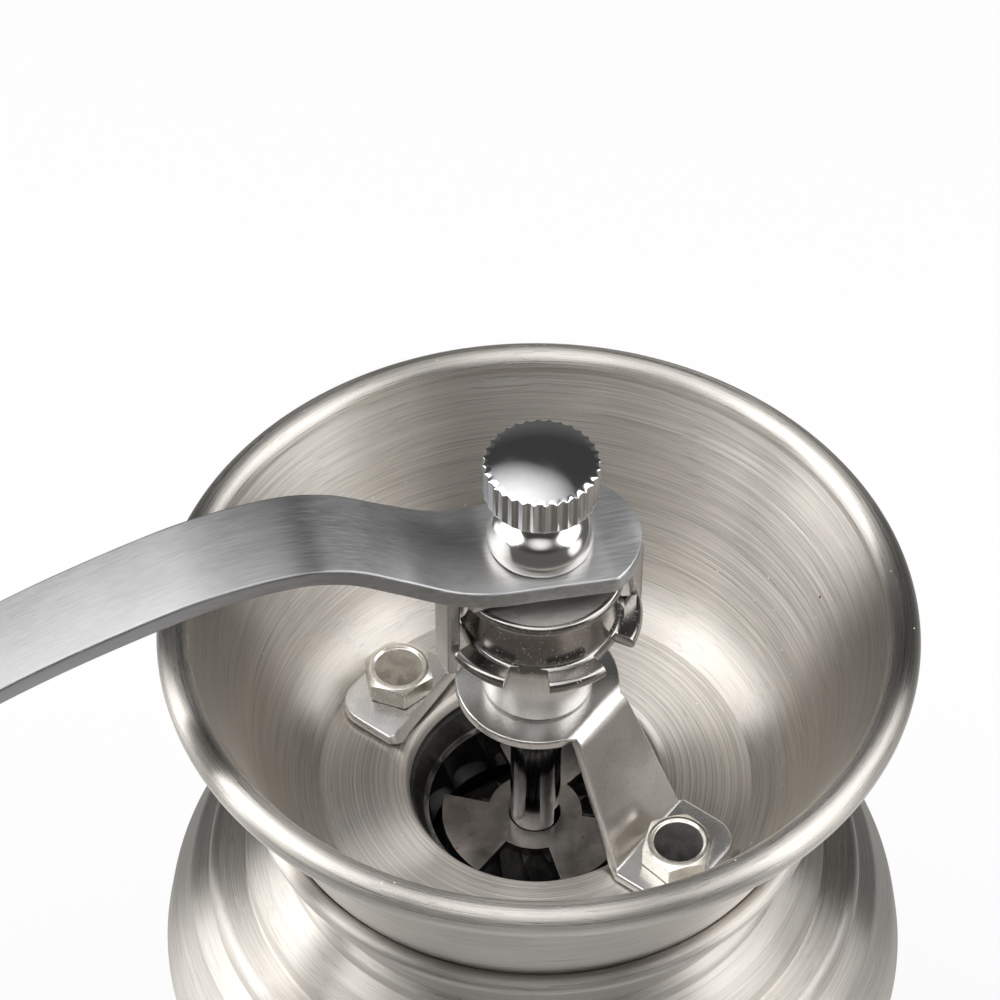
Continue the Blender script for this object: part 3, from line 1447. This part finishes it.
def grey_steel(name):
    """Dull stamped plate with fine rust specks."""
    look = Look(name)
    cloud = look.noise(260.0, 4.0, 0.6)
    base = look.mixed(look.ranged(cloud, 0.35, 0.65), colour(0.2, 0.184, 0.17), colour(0.3, 0.278, 0.258))
    base = look.mixed(look.ranged(look.noise(1100.0, 2.0), 0.68, 0.74, 0.0, 0.9), base, RUST)
    return look.surface(base, look.ranged(cloud, 0.3, 0.7, 0.3, 0.46), look.noise(3600.0, 2.0), 0.012 * MM)


def sintered_bronze(name):
    look = Look(name)
    pores = look.noise(2600.0, 3.0, 0.7)
    base = look.mixed(look.ranged(pores, 0.4, 0.65), colour(0.3, 0.19, 0.085), colour(0.5, 0.34, 0.17))
    return look.surface(base, look.ranged(pores, 0.3, 0.7, 0.32, 0.52), pores, 0.02 * MM)


def silicone(name):
    look = Look(name)
    cloud = look.noise(60.0)
    base = look.mixed(cloud, colour(0.022, 0.022, 0.023), colour(0.04, 0.04, 0.041))
    dull = look.ranged(cloud, 0.3, 0.7, 0.55, 0.72)
    return look.surface(base, dull, look.noise(2200.0), 0.015 * MM, 0.0)


def turned_wood(name, centre):
    """Dark hardwood with growth rings across the turning, under clear lacquer."""
    look = Look(name, centre)
    x, y, z = look.parts(look.place)
    heart = 22 * MM
    ring_width = 1.9 * MM
    fibre_width = 0.25 * MM
    side = look.times_plus(look.noise(45.0), 6 * MM, look.plus(x, heart))
    ring_place = look.vector(side, look.times_plus(z, 0.16, y))
    distance = look.vector_maths("LENGTH", ring_place, out="Value")
    rings = look.maths("SINE", look.times(distance, FULL_TURN / ring_width))
    fibre_place = look.vector(look.over(x, fibre_width), look.over(y, fibre_width), look.over(z, 5 * MM))
    fibre = look.noise(1.0, 3.0, 0.6, fibre_place)
    share = look.times_plus(fibre, 0.8, look.times_plus(rings, 0.16, 0.1))
    base = look.mixed(share, colour(0.05, 0.018, 0.008), colour(0.2, 0.085, 0.035))
    base = look.mixed(look.ranged(fibre, 0.62, 0.7, 0.0, 0.7), base, colour(0.02, 0.008, 0.004))
    look.shader.inputs["Coat Weight"].default_value = 0.6
    look.shader.inputs["Coat Roughness"].default_value = 0.12
    return look.surface(base, look.ranged(fibre, 0.3, 0.7, 0.34, 0.48), fibre, 0.02 * MM, 0.0)


# Camera, table and light. Panels hold azimuth, elevation, radius and softness in degrees, and
# brightness; softboxes hold azimuth, elevation, width and height in degrees, and brightness.
VIEW_AZIMUTH = math.radians(75)
VIEW_ELEVATION = math.radians(48.19)
VIEW_ROLL = math.radians(0.496)
VIEW_DISTANCE = 582.5 * MM
AIM_SIDE = -5.99 * MM
AIM_ABOVE_RIM = 27.59 * MM
LENS = 144
SENSOR = 36
PANELS = ((82, 4, 20, 6, 2.4), (-106, 4, 15, 5, 1.5), (50, 74, 20, 11, 1.3), (178, 72, 18, 10, 1.8))
SOFTBOXES = {"left_softbox": (88, 45, 50, 44, 2.6), "right_softbox": (-90, 45, 50, 44, 2.35)}
SOFTBOX_DISTANCE = 0.9
ROOM_BAND = (22, 34)
ROOM_LEVEL = 0.12
DARK_LEVEL = 0.05
TABLE_RADIUS = 0.95
TABLE_SHINE = (0.85, 0.12)
TABLE_GLOW = 0.86


def camera():
    ahead = Vector((math.cos(VIEW_AZIMUTH), math.sin(VIEW_AZIMUTH), 0))
    right = Vector((ahead.y, -ahead.x, 0))
    back = -ahead * math.cos(VIEW_ELEVATION) + Vector((0, 0, math.sin(VIEW_ELEVATION)))
    upward = back.cross(right)
    rolled_right = right * math.cos(VIEW_ROLL) + upward * math.sin(VIEW_ROLL)
    rolled_up = upward * math.cos(VIEW_ROLL) - right * math.sin(VIEW_ROLL)
    aim = right * AIM_SIDE + Vector((0, 0, rim_height + AIM_ABOVE_RIM))
    data = bpy.data.cameras.new("camera")
    data.lens = LENS
    data.sensor_width = SENSOR
    data.clip_start = 0.01
    data.clip_end = 20
    made = new_object("camera", data)
    turn = Matrix((rolled_right, rolled_up, back)).transposed().to_4x4()
    made.matrix_world = Matrix.Translation(aim + back * VIEW_DISTANCE) @ turn
    bpy.context.scene.camera = made


def floor():
    """A round white table. Metal sees it white nearby and fading towards its edge."""
    work = bmesh.new()
    bmesh.ops.create_circle(work, cap_ends=True, radius=TABLE_RADIUS, segments=128)
    mesh = bpy.data.meshes.new("floor")
    work.to_mesh(mesh)
    work.free()
    piece = new_object("floor", mesh)
    look = Look("floor_white")
    look.shader.inputs["Base Color"].default_value = FLOOR_WHITE
    look.shader.inputs["Roughness"].default_value = 0.7
    near = look.ranged(look.round_axis()[0], 0.1 * TABLE_RADIUS, 0.8 * TABLE_RADIUS, *TABLE_SHINE)
    rays = look.add("ShaderNodeLightPath").outputs
    level = look.maths("MAXIMUM", rays["Is Camera Ray"], near)
    glow = look.add("ShaderNodeEmission", {"Color": WHITE, "Strength": level})
    mirrored_rays = look.maths("MAXIMUM", rays["Is Glossy Ray"], rays["Is Transmission Ray"])
    share = look.maths("MAXIMUM", look.times(rays["Is Camera Ray"], TABLE_GLOW), mirrored_rays)
    both = look.add("ShaderNodeMixShader", {0: share, 1: look.shader.outputs[0], 2: glow.outputs[0]})
    look.fill(look.tree.nodes["Material Output"].inputs["Surface"], both.outputs[0])
    mesh.materials.append(look.material)


def sky_way(azimuth, elevation):
    """Azimuth in degrees to the left of the camera's own direction."""
    turn = VIEW_AZIMUTH + math.radians(azimuth)
    rise = math.radians(elevation)
    return Vector((math.cos(rise) * math.cos(turn), math.cos(rise) * math.sin(turn), math.sin(rise)))


def softbox(name, azimuth, elevation, width, height, level):
    """A lamp as wide and high as the angles given, and as bright as level."""
    data = bpy.data.lights.new(name, "AREA")
    data.shape = "RECTANGLE"
    data.size = 2 * SOFTBOX_DISTANCE * math.tan(math.radians(width / 2))
    data.size_y = 2 * SOFTBOX_DISTANCE * math.tan(math.radians(height / 2))
    data.energy = level * math.pi * data.size * data.size_y
    lamp = new_object(name, data)
    way = sky_way(azimuth, elevation)
    place = Matrix.Translation(Vector((0, 0, rim_height)) + way * SOFTBOX_DISTANCE)
    lamp.matrix_world = place @ way.to_track_quat("Z", "Y").to_matrix().to_4x4()
    lamp.visible_camera = False


def world():
    """A dark room with soft bright panels, two low and two overhead, seen white by the camera."""
    made = bpy.data.worlds.new("studio")
    bpy.context.scene.world = made
    made.use_nodes = True
    tree = Tree(made.node_tree)
    way = tree.add("ShaderNodeTexCoord").outputs["Generated"]
    low, high = (math.sin(math.radians(degrees)) for degrees in ROOM_BAND)
    light = tree.ranged(tree.parts(way)[2], low, high, ROOM_LEVEL, DARK_LEVEL)
    for azimuth, elevation, radius, soft, level in PANELS:
        facing = tree.vector_maths("DOT_PRODUCT", way, tuple(sky_way(azimuth, elevation)), out="Value")
        outer, inner = (math.cos(math.radians(edge)) for edge in (radius + soft, radius - soft))
        light = tree.plus(light, tree.ranged(facing, outer, inner, 0.0, level))
    rays = tree.add("ShaderNodeLightPath").outputs
    seen = tree.mixed(rays["Is Camera Ray"], light, WHITE)
    background = made.node_tree.nodes["Background"]
    tree.fill(background.inputs["Color"], seen)
    background.inputs["Strength"].default_value = 1.0


TURNED = turned_tree()
camera()
floor()
for lamp_name, values in SOFTBOXES.items():
    softbox(lamp_name, *values)
world()

rim_start = rim_radius - 2 * BEAD_RADIUS
spun = spun_steel("spun_steel", flakes=True, turned_to=FLOOR_RADIUS, rim_from=rim_start)
spun_outside = spun_steel("spun_steel_outside")
sheet_steel = stamped_steel("stamped_sheet_steel", SHEET_TINT, 0.28)
boss_steel = stamped_steel("satin_boss_steel", BOSS_TINT, 0.34)
chrome = polished("bright_chrome", CHROME_TINT, 0.07)
soft_chrome = polished("soft_chrome", COLLAR_TINT, 0.12)
nut_face = (NUT_TOP_RADIUS - 0.8 * MM, top("adjusting_nut"))
nut_chrome = polished("dusty_chrome", NUT_TINT, 0.12, 0.8, nut_face)
iron = cast_iron("black_cast_iron")
worn_iron = cast_iron("worn_cast_iron", band_height)
rubber = silicone("black_silicone")

for make, material in (
    (hopper_bowl, spun),
    (mill_dome, spun_outside),
    (receiver_cup, spun_outside),
    (cup_seal, rubber),
    (non_slip_pad, rubber),
    (bridge_bracket, sheet_steel),
    (lower_bridge, sheet_steel),
    (upper_bushing, boss_steel),
    (lower_bushing, sintered_bronze("sintered_bronze")),
    (outer_burr, worn_iron),
    (inner_burr, iron),
    (shaft, chrome),
    (feed_plate, grey_steel("grey_plate_steel")),
    (adjusting_nut, nut_chrome),
    (lock_plate, sheet_steel),
    (crank_arm, drawn_steel("drawn_bar_steel")),
    (dome_collar, soft_chrome),
    (thumb_screw, chrome),
):
    finished(make(), make.__name__, material)

HEAD_TURNS = (0, math.radians(26))
DISC_TINTS = (colour(0.2, 0.19, 0.18), colour(0.62, 0.57, 0.49))
bolt_bore = BOLT_RADIUS + GAP
for side, place, turn, disc in zip(("right", "left"), bolt_places, HEAD_TURNS, DISC_TINTS):
    head_top = (place[0], place[1], top("bolt_" + side))
    zinc = plated("zinc_plate_" + side, head_top, disc)
    plain_zinc = plated("plain_zinc_" + side, head_top)
    finished(clamp_bolt("bolt_" + side, place, turn), "bolt_" + side, zinc)
    finished(flat_washer("washer_" + side, bolt_bore), "washer_" + side, plain_zinc)
    finished(hex_nut("nut_" + side, HEX_WIDTH, bolt_bore, turn), "nut_" + side, plain_zinc)

shaft_bore = SHAFT_RADIUS + GAP
axis_zinc = plated("zinc_on_the_shaft", (0, 0, top("burr_nut")))
finished(flat_washer("burr_washer", shaft_bore), "burr_washer", axis_zinc)
finished(hex_nut("burr_nut", BURR_NUT_WIDTH, shaft_bore, 0), "burr_nut", axis_zinc)

spindle_bore = SPINDLE_RADIUS + GAP
knob_axis = centre_of("handle_knob") + (bottom("handle_knob"),)
knob_zinc = plated("zinc_on_the_knob", knob_axis)
finished(handle_knob(), "handle_knob", turned_wood("turned_dark_wood", knob_axis))
finished(knob_spindle(), "knob_spindle", knob_zinc)
finished(flat_washer("knob_washer", spindle_bore), "knob_washer", knob_zinc)
finished(hex_nut("knob_nut", HEX_WIDTH, spindle_bore, 0), "knob_nut", knob_zinc)

bpy.context.scene.view_settings.view_transform = "Standard"
